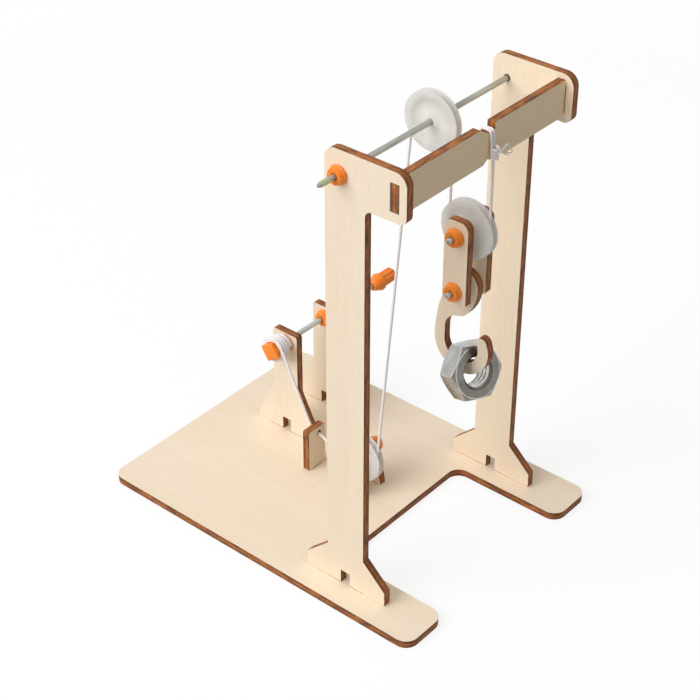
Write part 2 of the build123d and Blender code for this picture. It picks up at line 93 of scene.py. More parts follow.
def blend_of(add, share, first, second, mode="MIX"):
    """Two colours mixed by a share, or multiplied where the mode says so."""
    return add("Mix", {0: share, 6: first, 7: second}, 2, data_type="RGBA", blend_type=mode)


def speckle(add, place, stretch, detail=2.0):
    """Noise that is drawn out by stretching its place, in cycles per metre each way."""
    spot = add("VectorMath", {0: place, 1: stretch}, operation="MULTIPLY")
    return add("TexNoise", {"Vector": spot, "Scale": 1.0, "Detail": detail})


def between(add, value, low, high, most=1.0):
    """0 below low, most above high, and a straight slope from one to the other."""
    return add("MapRange", {"Value": value, "From Min": low, "From Max": high, "To Max": most})


def plywood(piece, middle, through, grain, rod_hole=None, slot=None, tone=(1, 1, 1)):
    """Finish of one plywood piece, from its middle, the way through it and its grain's way.

    The laser leaves a scorched ring on the face round a hole for a rod. Round a slot, which is
    given as its middle and its size along and across the grain, a dark border is partly scorch and
    partly painted shade of the gap round the tenon. A thin line of painted shade lies where a piece
    stands on the base, and the tone is painted light and shade, lightening or darkening a whole
    piece.
    """
    finish, shader, wire, add = new_finish(piece + "_plywood")
    turn = Matrix((grain, through.cross(grain), through)).transposed().to_euler()
    place = add("TexCoord", {}, 3)
    place = add("Mapping", {"Vector": place, "Location": middle, "Rotation": turn},
                vector_type="TEXTURE")
    depth = add("SeparateXYZ", {0: place}, 2)
    depth = add("Math", {0: depth}, operation="ABSOLUTE")
    face_depth = 0.4985 * ply  # what lies nearer to the middle than this is a cut edge
    cut = add("Math", {0: depth, 1: face_depth}, operation="LESS_THAN")

    fibres = speckle(add, place, (40, 1300, 500), 3.0)
    bands = speckle(add, place, (6, 55, 30), 2.0)
    patches = speckle(add, place, (14, 26, 20), 1.0)
    pores = speckle(add, place, (300, 3600, 900), 1.0)
    face = blend_of(add, between(add, bands, 0.3, 0.7), paint(246, 230, 206), paint(242, 223, 197))
    face = blend_of(add, between(add, patches, 0.4, 0.7, 0.5), face, paint(246, 226, 204))
    face = blend_of(add, between(add, fibres, 0.4, 0.85, 0.36), face, paint(230, 207, 176))
    face = blend_of(add, between(add, pores, 0.62, 0.72, 0.14), face, paint(190, 154, 116))
    # The tone is painted light and shade: it lightens or darkens a whole piece's face for how light
    # falls on it.
    face = blend_of(add, 1.0, face, (*tone, 1), "MULTIPLY")

    layer = add("Math", {0: depth, 1: ply / 2}, operation="DIVIDE")
    ramp = add("ValToRGB", {0: layer})
    stops = [(0.0, (170, 104, 52)), (0.32, (160, 94, 44)), (0.40, (92, 50, 24)),
             (0.48, (158, 92, 42)), (0.80, (134, 76, 34)), (0.93, (46, 24, 13))]
    bar = ramp.node.color_ramp.elements
    while len(bar) < len(stops):
        bar.new(1.0)
    for element, (position, colour) in zip(bar, stops):
        element.position = position
        element.color = paint(*colour)
    strokes = speckle(add, place, (2600, 2600, 260), 3.0)
    char = speckle(add, place, (190, 190, 700), 3.0)
    edge = blend_of(add, between(add, char, 0.48, 0.72, 0.75), ramp, paint(214, 134, 66))
    edge = blend_of(add, between(add, char, 0.46, 0.30, 0.7), edge, paint(60, 30, 16))
    edge = blend_of(add, between(add, strokes, 0.35, 0.75, 0.4), edge, paint(60, 32, 16))
    if through.z == 0 and grain.z == 1:
        # Painted shade: a thin dark line on the face just above the base, where the piece meets it.
        height = add("SeparateXYZ", {0: add("TexCoord", {}, 3)}, 2)
        line_top, line_bottom = ply + 0.24 * mm, ply + 0.04 * mm
        foot = between(add, height, line_top, line_bottom, 0.6)
        face = blend_of(add, foot, face, paint(112, 74, 44))
    if rod_hole:
        ring_outside, ring_inside = 1.55 * mm, 1.2 * mm
        spot = rod_hole - middle
        spot = Vector((spot.dot(grain), spot.dot(through.cross(grain)), 0))
        flat = add("VectorMath", {0: place, 1: (1, 1, 0)}, operation="MULTIPLY")
        off = add("VectorMath", {0: flat, 1: spot}, 1, operation="DISTANCE")
        ring = between(add, off, ring_outside, ring_inside, 0.9)
        face = blend_of(add, ring, face, paint(64, 36, 20))
    if slot:
        slot_middle, slot_along, slot_across = slot
        border_outside, border_inside = 0.38 * mm, 0.2 * mm
        spot = slot_middle - middle
        spot = Vector((spot.dot(grain), spot.dot(through.cross(grain)), 0))
        off = add("VectorMath", {0: place, 1: spot}, operation="SUBTRACT")
        off = add("VectorMath", {0: off}, operation="ABSOLUTE")
        off = add("VectorMath", {0: off, 1: (slot_along / 2, slot_across / 2, 0)},
                  operation="SUBTRACT")
        sides = add("SeparateXYZ", {0: off}, 0)
        off = add("Math", {0: sides, 1: sides.node.outputs[1]}, operation="MAXIMUM")
        # Partly scorch and partly painted shade: the dark border stands for the scorched slot edge
        # and the shade in the gap round the tenon.
        border = between(add, off, border_outside, border_inside, 0.9)
        face = blend_of(add, border, face, paint(58, 32, 18))

    rise = add("Mix", {0: cut, 2: fibres, 3: strokes})
    bump = add("Bump", {"Strength": 0.35, "Distance": 0.12 * mm, "Height": rise})
    wire(shader, {"Base Color": blend_of(add, cut, face, edge), "Normal": bump,
                  "Roughness": 0.62, "Specular IOR Level": 0.35})
    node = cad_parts[piece]
    node.data.materials.clear()
    node.data.materials.append(finish)


def middle_of(piece):
    """The middle of a piece's box."""
    low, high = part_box(piece)
    return (low + high) / 2


plywood("base_plate", middle_of("base_plate"), along_z, along_x)


# Uprights and beam. Cut from the same sheet with the grain up the posts and along the beam.
# Their tabs are pressed into the base, and the beam's tenons into the two noses.
tenon_height = 9.3 * mm
tenon = (Vector((55.2, 0, 166.15)) * mm, tenon_height, ply)
for piece in ("front_post", "rear_post"):
    # Painted light: the rear post's face is lightened, as it gets less light than the front one.
    tone = (1, 1, 1) if piece == "front_post" else (1.05, 1.05, 1.04)
    plywood(piece, middle_of(piece), along_y, along_z, middle_of("top_axle"), tenon, tone)
# Painted shade: the supports and brackets are toned darker against the light the base throws back
# onto them.
for piece, turning in (
        ("near_winch_support", "winch_shaft"), ("far_winch_support", "winch_shaft"),
        ("near_pulley_bracket", "foot_pulley_pin"), ("far_pulley_bracket", "foot_pulley_pin")):
    plywood(piece, middle_of(piece), along_y, along_z, middle_of(turning), tone=(0.95, 0.97, 1))
# Painted shade: the beam is toned darker and warmer, as its face lies in warm shade.
plywood("cross_beam", middle_of("cross_beam"), along_x, along_y, tone=(1.0, 0.94, 0.82))
plywood("guide_plate", middle_of("guide_plate"), along_x, along_z)


# Top axle, and the other rods. Drawn steel rod of 2 mm, cropped to length, so its ends are a
# little rounded and its skin has fine lines along it. It turns in plain holes in the wood.
def new_piece(name, bm, finish, sharpest=40):
    """Turn a finished bmesh into a smooth piece with that finish."""
    bmesh.ops.recalc_face_normals(bm, faces=bm.faces)
    mesh = bpy.data.meshes.new(name)
    bm.to_mesh(mesh)
    bm.free()
    mesh.materials.append(finish)
    mesh.shade_smooth()
    mesh.set_sharp_from_angle(angle=radians(sharpest))
    piece = bpy.data.objects.new(name, mesh)
    bpy.context.scene.collection.objects.link(piece)
    return piece


def put(piece, body, slot, *stands_for):
    """The piece rides on a body and stands for the CAD nodes, which are hidden; the slot is not
    used.
    """
    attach(piece, body)
    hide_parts(*stands_for)


def soften(bm, width, steepest=35, steps=3):
    """Round the sharp edges of a closed shape."""
    sharp = [e for e in bm.edges if e.calc_face_angle(0) > radians(steepest)]
    bmesh.ops.bevel(bm, geom=sharp, offset=width, offset_type="OFFSET", segments=steps,
                    profile=0.5, affect="EDGES", material=-1, clamp_overlap=True)


def turned(section, axle, rounding, steps=72):
    """Turn a section, given as radius and Y in mm, about an axle at X and Z."""
    bm = bmesh.new()
    points = [bm.verts.new((radius * mm, y * mm, 0)) for radius, y in section]
    pairs = list(zip(points, points[1:]))
    if section[0][0] > 0:
        pairs.append((points[-1], points[0]))
    for pair in pairs:
        bm.edges.new(pair)
    bmesh.ops.spin(bm, geom=bm.verts[:] + bm.edges[:], cent=(0, 0, 0), axis=along_y,
                   dvec=(0, 0, 0), angle=2 * pi, steps=steps, use_merge=True,
                   use_duplicate=False)
    bmesh.ops.remove_doubles(bm, verts=bm.verts, dist=1e-7)
    soften(bm, rounding * mm)
    bmesh.ops.translate(bm, verts=bm.verts, vec=(axle.x, 0, axle.z))
    return bm


def steel_wire():
    """Drawn steel, stained, and greenish and then grey towards the nose of the top axle."""
    finish, shader, wire, add = new_finish("drawn_steel")
    place = add("TexCoord", {}, 3)
    lines = speckle(add, place, (5200, 60, 5200), 2.0)
    stains = speckle(add, place, (300, 60, 300), 3.0)
    skin = blend_of(add, between(add, stains, 0.35, 0.7), paint(186, 186, 181),
                    paint(138, 138, 130))
    reach = add("SeparateXYZ", {0: place}, 1)
    green_from, green_full, grey_from, grey_full = -48.4 * mm, -49.4 * mm, -52.8 * mm, -53.2 * mm
    green = between(add, reach, green_from, green_full, 0.8)
    skin = blend_of(add, green, skin, paint(170, 180, 132))
    skin = blend_of(add, between(add, reach, grey_from, grey_full), skin, paint(150, 147, 148))
    bump = add("Bump", {"Strength": 0.3, "Distance": 0.05 * mm, "Height": lines})
    rough = add("MapRange", {"Value": lines, "To Min": 0.36, "To Max": 0.52})
    wire(shader, {"Base Color": skin, "Roughness": rough, "Metallic": 1.0, "Normal": bump})
    return finish


steel = steel_wire()


def rod(node, body, nipped=0.2, nose=0.9):
    """A rod whose front end the cutter drew down, over the length nipped, to a nose.

    The nose is given as a share of the rod's radius.
    """
    low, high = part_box(node)
    radius = (high.x - low.x) / 2 / mm
    start, end = low.y / mm, high.y / mm
    section = [(0, start), (nose * radius, start), (radius, start + nipped), (radius, end),
               (0, end)]
    bm = turned(section, (low + high) / 2, 0.18, 32)
    put(new_piece(node + "_rod", bm, steel), body, "steel_rod", node)


rod("top_axle", "top_pulley_set", nipped=1.5, nose=0.5)
rod("foot_pulley_pin", "foot_pulley_set")
rod("winch_shaft", "winch")
rod("block_pulley_pin", "block_pulley_set")
rod("hook_pin", "block")


# Pulleys. Moulded in milky polypropylene that lets some light through, with a V groove, a
# raised rim and a dished web. All three are pressed on their rods and turn with them.
def milky_plastic():
    """Plastic that light goes a little way into."""
    finish, shader, wire, add = new_finish("milky_plastic")
    place = add("TexCoord", {}, 3)
    flow = speckle(add, place, (160, 160, 160), 3.0)
    skin = blend_of(add, between(add, flow, 0.3, 0.7), paint(251, 248, 244), paint(243, 239, 233))
    grain = speckle(add, place, (3600, 3600, 3600), 2.0)
    bump = add("Bump", {"Strength": 0.12, "Distance": 0.05 * mm, "Height": grain})
    wire(shader, {"Base Color": skin, "Roughness": 0.4, "Normal": bump, "IOR": 1.45,
                  "Transmission Weight": 0.25, "Subsurface Weight": 0.5,
                  "Subsurface Scale": 2 * mm, "Subsurface Radius": (1.0, 0.9, 0.8)})
    return finish


milky = milky_plastic()


def pulley(node, body):
    """A pulley; the half section is given as radius and distance from its middle plane."""
    low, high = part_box(node)
    middle = (low + high) / 2
    side = [(1.0, 1.3), (2.3, 1.3), (3.0, 1.0), (6.9, 1.0), (7.5, 1.4), (10.5, 1.4),
            (10.5, 1.1), (7.15, 0.7)]
    section = side + [(radius, -y) for radius, y in reversed(side)]
    section = [(radius, y + middle.y / mm) for radius, y in section]
    bm = turned(section, middle, 0.13, 96)
    put(new_piece(node + "_wheel", bm, milky), body, "pulley_plastic", node)


pulley("top_pulley", "top_pulley_set")
pulley("foot_pulley", "foot_pulley_set")
pulley("block_pulley", "block_pulley_set")


# Bushes. Small moulded caps of orange plastic, a flange against the wood and a hub. They are
# pushed on the rods and keep them from sliding out.
def orange_plastic():
    """Coloured plastic with a fine moulded grain."""
    finish, shader, wire, add = new_finish("orange_plastic")
    place = add("TexCoord", {}, 3)
    cloud = speckle(add, place, (220, 220, 220), 3.0)
    skin = blend_of(add, between(add, cloud, 0.3, 0.7), paint(255, 150, 50), paint(255, 132, 34))
    grain = speckle(add, place, (4200, 4200, 4200), 2.0)
    bump = add("Bump", {"Strength": 0.15, "Distance": 0.05 * mm, "Height": grain})
    wire(shader, {"Base Color": skin, "Roughness": 0.45, "Normal": bump, "IOR": 1.49,
                  "Specular IOR Level": 0.35, "Subsurface Weight": 0.35,
                  "Subsurface Scale": 1.2 * mm, "Subsurface Radius": (1.0, 0.35, 0.12)})
    return finish


orange = orange_plastic()


def bush(node, body, side):
    """Side is 1 where the hub points to +Y, away from the wood, and -1 the other way."""
    low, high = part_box(node)
    face = (low.y if side > 0 else high.y) / mm
    profile = [(1.0, 0), (3.3, 0), (3.3, 0.8), (2.9, 0.9), (2.8, 2.3), (1.35, 2.3), (1.0, 1.9)]
    section = [(radius, face + side * y) for radius, y in profile]
    bm = turned(section, (low + high) / 2, 0.22, 48)
    put(new_piece(node + "_cap", bm, orange), body, "orange_plastic", node)


for node, body, side in (
        ("top_axle_front_bush", "top_pulley_set", -1),
        ("top_axle_rear_bush", "top_pulley_set", 1),
        ("winch_inner_bush", "winch", -1),
        ("winch_outer_bush", "winch", 1),
        ("foot_pulley_near_bush", "foot_pulley_set", -1),
        ("foot_pulley_far_bush", "foot_pulley_set", 1),
        ("block_pulley_near_bush", "block_pulley_set", -1),
        ("block_pulley_far_bush", "block_pulley_set", 1),
        ("hook_near_bush", "block", -1),
        ("hook_far_bush", "block", 1)):
    bush(node, body, side)


# Winch drum. A moulded spool with a square head, which keeps the cord from slipping off and
# can be gripped with a spanner, a core under the cord and a small flange by the support.
winch_x, winch_z = -39.5, 44.7
drum_start, drum_end = 0.5, 9.0
head_side, head_width, head_turn = 6.5, 1.2, radians(56)
shaft_radius, core_radius, flange_radius = 1.0, 3.3, 3.9

bm = bmesh.new()
bmesh.ops.create_cube(bm, size=1)
bmesh.ops.scale(bm, verts=bm.verts, vec=Vector((head_side, head_width, head_side)) * mm)
bmesh.ops.rotate(bm, verts=bm.verts, cent=(0, 0, 0), matrix=Matrix.Rotation(head_turn, 3, "Y"))
soften(bm, 0.3 * mm)
bmesh.ops.translate(bm, verts=bm.verts,
                    vec=Vector((winch_x, drum_start + head_width / 2, winch_z)) * mm)
head = new_piece("winch_drum_head", bm, orange)
put(head, "winch", "orange_plastic", "winch_drum")

core_start = drum_start + head_width - 0.2
section = [(shaft_radius, core_start), (core_radius, core_start), (core_radius, 8.1),
           (flange_radius, 8.3), (flange_radius, drum_end), (shaft_radius, drum_end)]
winch_axle = Vector((winch_x, 0, winch_z)) * mm
core = new_piece("winch_drum_core", turned(section, winch_axle, 0.2, 64), orange)
put(core, "winch", "orange_plastic")


# Winding knob. One moulding pushed on the far end of the shaft: a cone, a flange to push it
# home by, and a grip with eight flutes and a rounded end.
knob_y = 61.0
cone_end, collar_end, grip_start = knob_y + 4.0, knob_y + 4.8, knob_y + 4.7
cone_radius, collar_radius = 2.0, 3.65
section = [(shaft_radius, knob_y), (cone_radius, knob_y), (collar_radius, cone_end),
           (collar_radius, collar_end), (shaft_radius, collar_end)]
collar = new_piece("winding_knob_collar", turned(section, winch_axle, 0.25, 64), orange)
put(collar, "winch", "orange_plastic", "winding_knob")


def grow(bm, ring, move):
    """Extrude an open ring of edges, and move each new corner to where move puts it."""
    grown = bmesh.ops.extrude_edge_only(bm, edges=ring)["geom"]
    for vert in grown:
        if isinstance(vert, bmesh.types.BMVert):
            vert.co = move(vert.co)
    return [e for e in grown if isinstance(e, bmesh.types.BMEdge) and e.is_boundary]


grip_radius, flutes, flute_radius = 3.0, 8, 0.8
flute_middle = grip_radius + flute_radius / 2


def fluted(angle):
    """Radius of the grip, which the flutes cut into."""
    pitch = 2 * pi / flutes
    off = (angle + pitch / 2) % pitch - pitch / 2
    reach = flute_radius**2 - (flute_middle * sin(off)) ** 2
    return min(grip_radius, flute_middle * cos(off) - sqrt(reach)) if reach > 0 else grip_radius


bm = bmesh.new()
bmesh.ops.create_circle(bm, segments=128, radius=1 * mm, cap_ends=True)
for vert in bm.verts:
    vert.co = vert.co.normalized() * fluted(Vector((1, 0)).angle_signed(vert.co.xy)) * mm
ring = bm.edges[:]
grip_length, end_round = 8.1, 1.4
straight = grip_length - end_round
ring = grow(bm, ring, lambda co: co + along_z * straight * mm)
outline = 1.0
round_steps = 6
for step in range(1, round_steps + 1):
    angle = pi / 2 * step / round_steps
    size = 1 - end_round * (1 - cos(angle)) / grip_radius
    height = (straight + end_round * sin(angle)) * mm
    ring = grow(bm, ring, lambda co: Vector((co.x * size / outline, co.y * size / outline, height)))
    outline = size
bmesh.ops.holes_fill(bm, edges=ring, sides=0)
bmesh.ops.rotate(bm, verts=bm.verts, cent=(0, 0, 0), matrix=Matrix.Rotation(radians(-90), 3, "X"))
bmesh.ops.translate(bm, verts=bm.verts, vec=Vector((winch_x, grip_start, winch_z)) * mm)
put(new_piece("winding_knob_grip", bm, orange), "winch", "orange_plastic")


# Movable block. Two plywood cheeks hang from the pulley's pin. The hook is cut from the same
# sheet and swings on the lower pin.
for piece in ("near_block_cheek", "far_block_cheek", "hook"):
    plywood(piece, middle_of(piece), along_y, along_z)


# Load. A zinc-plated M12 nut, 19 mm across its flats, with chamfered corners, a countersunk
# bore and a thread of 1.75 mm pitch. It hangs by its bore on the hook.
flats, thick = 19.0, 8.0
crown, chamfer = 9.2, tan(radians(30))
bore, groove, pitch, sink = 5.1, 5.95, 1.75, 6.3
crest_share, flank_share = 0.25, 0.3125  # of the pitch
yaw, lean, turn_in_bore = radians(-14), radians(70), radians(21)
hang = Matrix.Rotation(yaw, 3, "Z") @ Matrix.Rotation(lean, 3, "Y")
clock = Matrix.Rotation(turn_in_bore, 3, "Z")


def zinc_plate(name, light, dark, smooth, dull, shades_thread_roots=False):
    """One of the nut's four surfaces, from its two tones and its roughness; the tones hold painted
    light and shade.

    Where asked, the roots of the thread are painted darker than its crests, as painted shade.
    """
    finish, shader, wire, add = new_finish(name)
    place = add("TexCoord", {}, 3)
    cloud = speckle(add, place, (260, 260, 260), 3.0)
    skin = blend_of(add, between(add, cloud, 0.3, 0.7), light, dark)
    if shades_thread_roots:
        offset = add("VectorMath", {0: place, 1: middle_of("hex_nut")}, operation="SUBTRACT")
        across = add("VectorMath", {0: offset, 1: hang @ along_z}, operation="CROSS_PRODUCT")
        across = add("VectorMath", {0: across}, 1, operation="LENGTH")
        # Painted shade in the thread's roots.
        root = between(add, across, (bore + 0.15) * mm, (groove - 0.15) * mm)
        skin = blend_of(add, root, skin, paint(96, 90, 82))
    grain = speckle(add, place, (2600, 2600, 2600), 3.0)
    bump = add("Bump", {"Strength": 0.1, "Distance": 0.04 * mm, "Height": grain})
    rough = add("MapRange", {"Value": cloud, "To Min": smooth, "To Max": dull})
    wire(shader, {"Base Color": skin, "Roughness": rough, "Metallic": 0.7, "Normal": bump})
    return finish


def six_sided(angle):
    """Distance from the nut's middle to its flat or corner in that direction."""
    return flats / 2 / cos((angle % (pi / 3)) - pi / 6)


def threaded(angle, height):
    """Radius of the bore's wall: the crest, the flank or the root of the thread."""
    turn = (height / pitch + angle / (2 * pi)) % 1
    rise = min(max((turn - crest_share) / flank_share, 0), max((1 - turn) / flank_share, 0), 1)
    open_end = sink - (thick / 2 - abs(height))
    return max(bore + rise * (groove - bore), open_end)


def nut_ring(radius, height):
    """A rule that moves a ring's corners to a radius and height, both worked from the angle."""
    def move(co):
        angle = Vector((1, 0)).angle_signed(co.xy)
        r = radius(angle)
        return Vector((cos(-angle) * r, sin(-angle) * r, height(r))) * mm
    return move


half = thick / 2
bm = bmesh.new()
bmesh.ops.create_circle(bm, segments=96, radius=1 * mm, cap_ends=False)
first = bm.edges[:]
for vert in bm.verts:
    vert.co = nut_ring(lambda angle: crown, lambda r: half)(vert.co)
ring = grow(bm, first, nut_ring(six_sided, lambda r: half - chamfer * max(0, r - crown)))
ring = grow(bm, ring, nut_ring(six_sided, lambda r: -half + chamfer * max(0, r - crown)))
ring = grow(bm, ring, nut_ring(lambda angle: crown, lambda r: -half))
ring = grow(bm, ring, nut_ring(lambda angle: sink, lambda r: -half))
layers = 80
for layer in range(1, layers):
    height = -half + thick * layer / layers
    ring = grow(bm, ring, nut_ring(lambda angle: threaded(angle, height), lambda r: height))
ring = grow(bm, ring, nut_ring(lambda angle: sink, lambda r: half))
bmesh.ops.bridge_loops(bm, edges=ring + first)
rims = [e for e in bm.edges if e.calc_face_angle(0) > radians(22)
        and min(vert.co.xy.length for vert in e.verts) > (crown - 0.1) * mm]
bm.normal_update()
# The end faces take the painted shade, the bore the thread's painted light and shade, and the flats
# the painted light.
for face in bm.faces:
    if face.calc_center_median().xy.length < (sink - 0.02) * mm:
        face.material_index = 3
    elif abs(face.normal.z) > 0.5:
        face.material_index = 1
rounded = bmesh.ops.bevel(bm, geom=rims, offset=0.22 * mm, offset_type="OFFSET", segments=2,
                          profile=0.5, affect="EDGES", material=-1, clamp_overlap=True)
# The rounded rims take a painted highlight.
for face in rounded["faces"]:
    face.material_index = 2
bmesh.ops.rotate(bm, verts=bm.verts, cent=(0, 0, 0), matrix=hang @ clock)
bmesh.ops.translate(bm, verts=bm.verts, vec=middle_of("hex_nut"))
# Painted light and shade: the flats are painted lighter and the two end faces darker, for how the
# light falls on them.
flat_painted_light = zinc_plate("flat_painted_light", paint(192, 192, 189), paint(164, 164, 159), 0.16, 0.3)
face_painted_shade = zinc_plate("face_painted_shade", paint(142, 139, 131), paint(118, 115, 107), 0.24, 0.36)
# Painted highlight: the rounded rims are painted bright.
rim_painted_highlight = zinc_plate("rim_painted_highlight", paint(226, 226, 223), paint(176, 176, 172), 0.2, 0.3)
# Painted highlights on the thread's crests, and painted shade in its roots.
thread_painted_light_and_shade = zinc_plate("thread_painted_light_and_shade", paint(236, 236, 232), paint(204, 202, 196), 0.12, 0.22, True)
nut = new_piece("nut_with_thread", bm, flat_painted_light, 25)
for finish in (face_painted_shade, rim_painted_highlight, thread_painted_light_and_shade):
    nut.data.materials.append(finish)
put(nut, "load", "zinc_steel", "hex_nut")


# Cord. White cotton of three twisted strands, 1.1 mm thick. It is tied round the beam, carries
# the block, goes over the top pulley and under the foot one, through the guide to the drum.
cord_radius, lay = 0.55, 3.3  # lay is the length of one full twist
strand_middle, strand_size = 0.34, 0.66  # as shares of the cord's radius


def cotton():
    """Matt white fibre with a fine fluff."""
    finish, shader, wire, add = new_finish("cotton")
    place = add("TexCoord", {}, 3)
    tone = speckle(add, place, (500, 500, 500), 3.0)
    skin = blend_of(add, between(add, tone, 0.3, 0.7), paint(255, 249, 247), paint(250, 241, 239))
    fluff = speckle(add, place, (9000, 9000, 9000), 3.0)
    bump = add("Bump", {"Strength": 0.3, "Distance": 0.06 * mm, "Height": fluff})
    wire(shader, {"Base Color": skin, "Roughness": 0.9, "Normal": bump, "Sheen Weight": 0.6,
                  "Specular IOR Level": 0.2, "Subsurface Weight": 0.15,
                  "Subsurface Scale": 0.4 * mm, "Subsurface Radius": (1.0, 0.9, 0.9)})
    return finish


cotton_finish = cotton()


def route_line(points, step=0.28):
    """The smooth line of a route given in mm, as places an even step apart, in metres."""
    curve = bpy.data.curves.new("route", "CURVE")
    curve.dimensions = "3D"
    curve.resolution_u = 32
    spline = curve.splines.new("NURBS")
    spline.points.add(len(points) - 1)
    for point, place in zip(spline.points, points):
        point.co = (*(value * mm for value in place), 1)
    spline.order_u = 3
    spline.use_endpoint_u = True
    holder = bpy.data.objects.new("route", curve)
    mesh = bpy.data.meshes.new_from_object(holder)
    fine = [vert.co.copy() for vert in mesh.vertices]
    bpy.data.objects.remove(holder)
    bpy.data.curves.remove(curve)
    bpy.data.meshes.remove(mesh)
    length = sum((b - a).length for a, b in zip(fine, fine[1:]))
    count = max(2, round(length / (step * mm)))
    line, walked, goal = [fine[0]], 0.0, length / count
    for a, b in zip(fine, fine[1:]):
        run = (b - a).length
        while run > 0 and walked + run >= goal and len(line) < count:
            line.append(a.lerp(b, (goal - walked) / run))
            goal += length / count
        walked += run
    return line + [fine[-1]], length


def strand_radius(angle):
    """Radius of three strands laid together, from the middle of the cord."""
    off = (angle % (2 * pi / 3)) - pi / 3
    return strand_middle * cos(off) + sqrt(strand_size**2 - (strand_middle * sin(off)) ** 2)


def plain_radius(angle):
    """Radius of a single round strand."""
    return 1.0


def lay_cord(bm, line, phase=0.0, across=None, size=lambda share: 1.0, section=strand_radius,
             corners=24):
    """Sweep a twisted section along a line, and close both its ends."""
    ways = [(b - a).normalized() for a, b in zip(line, line[1:])]
    ways = [ways[0]] + [(a + b).normalized() for a, b in zip(ways, ways[1:])] + [ways[-1]]
    normal = across or ways[0].orthogonal()
    walked, last, ring, verts = 0.0, None, None, None
    for index, (place, way) in enumerate(zip(line, ways)):
        normal = (normal - way * normal.dot(way)).normalized()
        walked += (place - line[index - 1]).length if index else 0.0
        angle = phase + 2 * pi * walked / (lay * mm)
        side = Matrix.Rotation(angle, 3, way) @ normal
        thick = size(index / (len(line) - 1))
        spot = Matrix((side * thick, way.cross(side) * thick, way)).transposed().to_4x4()
        spot.translation = place
        if ring is None:
            verts = bmesh.ops.create_circle(bm, segments=corners, radius=1, cap_ends=False)["verts"]
            ring = list({edge for vert in verts for edge in vert.link_edges})
            for vert in verts:
                turn = Vector((1, 0)).angle_signed(vert.co.xy)
                vert.co = vert.co * section(-turn) * cord_radius * mm
            bmesh.ops.transform(bm, matrix=spot, verts=verts)
            first = ring
        else:
            grown = bmesh.ops.extrude_edge_only(bm, edges=ring)["geom"]
            verts = [g for g in grown if isinstance(g, bmesh.types.BMVert)]
            ring = [g for g in grown if isinstance(g, bmesh.types.BMEdge) and g.is_boundary]
            bmesh.ops.transform(bm, matrix=spot @ last.inverted(), verts=verts)
        last = spot
    for end in (first, ring):
        bmesh.ops.holes_fill(bm, edges=end, sides=0)
    return angle


# The run lies in the guide and on two pulleys, and starts where the cord leaves the drum.
run_route = [(41.7, 1.5, 165.6), (41.7, 1.5, 174.25), (26.41, 1.5, 174.93), (25.14, 1.5, 160.74),
             (12.86, 1.5, 23.16), (11.9, 1.5, 12.42), (4.62, 1.5, 8.28), (-5.1, 1.25, 12.94),
             (-11.42, 1.1, 15.96), (-15.15, 1.0, 17.75), (-19.25, 1.0, 18.3),
             (-21.24, 1.17, 21.92), (-34.59, 2.35, 46.15), (-36.15, 2.45, 48.98),
             (-38.2, 2.6, 49.6)]
line, run_length = route_line(run_route)
bm = bmesh.new()
lay_cord(bm, line, 0.0, along_y)
put(new_piece("cord_run_to_drum", bm, cotton_finish, 80), "frame", "cord", "cord_run")

# The hoisting strand goes from the top pulley down to the block.
strand_top, strand_end = Vector((41.7, 1.5, 165.6)), Vector((41.7, 1.5, 134.0))
line, hoist_length = route_line([strand_top, (strand_top + strand_end) / 2, strand_end])
bm = bmesh.new()
phase = lay_cord(bm, line, 0.0, along_y)
piece = new_piece("cord_hoisting_strand", bm, cotton_finish, 80)
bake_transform(piece)
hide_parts("cord_hoist_strand")

# The bight goes round the block's pulley and rises with it.
line, bight_length = route_line([(41.7, 1.5, 134.0), (41.7, 1.5, 125.0), (57.7, 1.5, 125.0),
                                 (57.7, 1.5, 134.0)])
bm = bmesh.new()
phase = lay_cord(bm, line, phase, along_y)
put(new_piece("cord_round_block_pulley", bm, cotton_finish, 80), "block", "cord", "cord_block_wrap")

# The standing strand goes from the block up to the knot on the beam.
strand_top, strand_end = Vector((57.7, 1.5, 158.5)), Vector((57.7, 1.5, 134.0))
line, standing_length = route_line([strand_end, (strand_top + strand_end) / 2, strand_top])
bm = bmesh.new()
phase = lay_cord(bm, line, phase, along_y)
piece = new_piece("cord_standing_strand", bm, cotton_finish, 80)
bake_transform(piece)
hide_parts("cord_fixed_strand")

# The tie goes twice round the beam's waist, then four times round itself in front, where it is
# drawn tight. Its end has come undone into separate strands.
tie_route = [
    (57.7, 1.5, 158.5), (57.7, 1.5, 160.5), (57.5, 0.9, 163.5), (57.4, 0.4, 168.0),
    (57.4, 0.2, 170.9), (56.5, 0.2, 171.3), (53.9, 0.2, 171.3), (53.0, 0.3, 170.9),
    (53.0, 0.6, 166.0), (53.0, 1.0, 161.5), (53.9, 1.1, 161.0), (56.5, 1.3, 161.0),
    (57.4, 1.4, 161.6), (57.5, 1.7, 166.0), (57.4, 1.5, 170.9), (56.5, 1.4, 171.3),
    (53.9, 1.4, 171.3), (53.0, 1.5, 170.9), (53.0, 1.9, 166.0), (53.0, 2.2, 161.5),
    (53.9, 2.3, 161.0), (56.4, 2.4, 160.7), (57.6, 2.7, 160.5),
]
knot_x, knot_y, knot_low, knot_high, knot_turns = 58.3, 1.15, 161.6, 165.9, 4.25
for step in range(round(knot_turns * 12) + 1):
    angle = radians(80 - 30 * step)
    reach = 1.04 + 0.05 * sin(2.3 * step)
    height = knot_low + (knot_high - knot_low) * step / (knot_turns * 12)
    tie_route.append((knot_x + reach * cos(angle), knot_y + reach * sin(angle), height))
tie_route += [(59.3, 0.9, 166.3), (60.0, 1.4, 165.4), (60.0, 2.2, 164.1), (59.6, 3.2, 163.7)]
line, tie_length = route_line(tie_route, 0.24)
bm = bmesh.new()
drawn_tight = 0.14  # how much thinner the cord is at the knot's end
lay_cord(bm, line, phase, along_y, size=lambda share: 1 - drawn_tight * share)
tail = (59.7, 2.9, 163.8)
frayed_size, frayed_taper = 0.62, 0.45
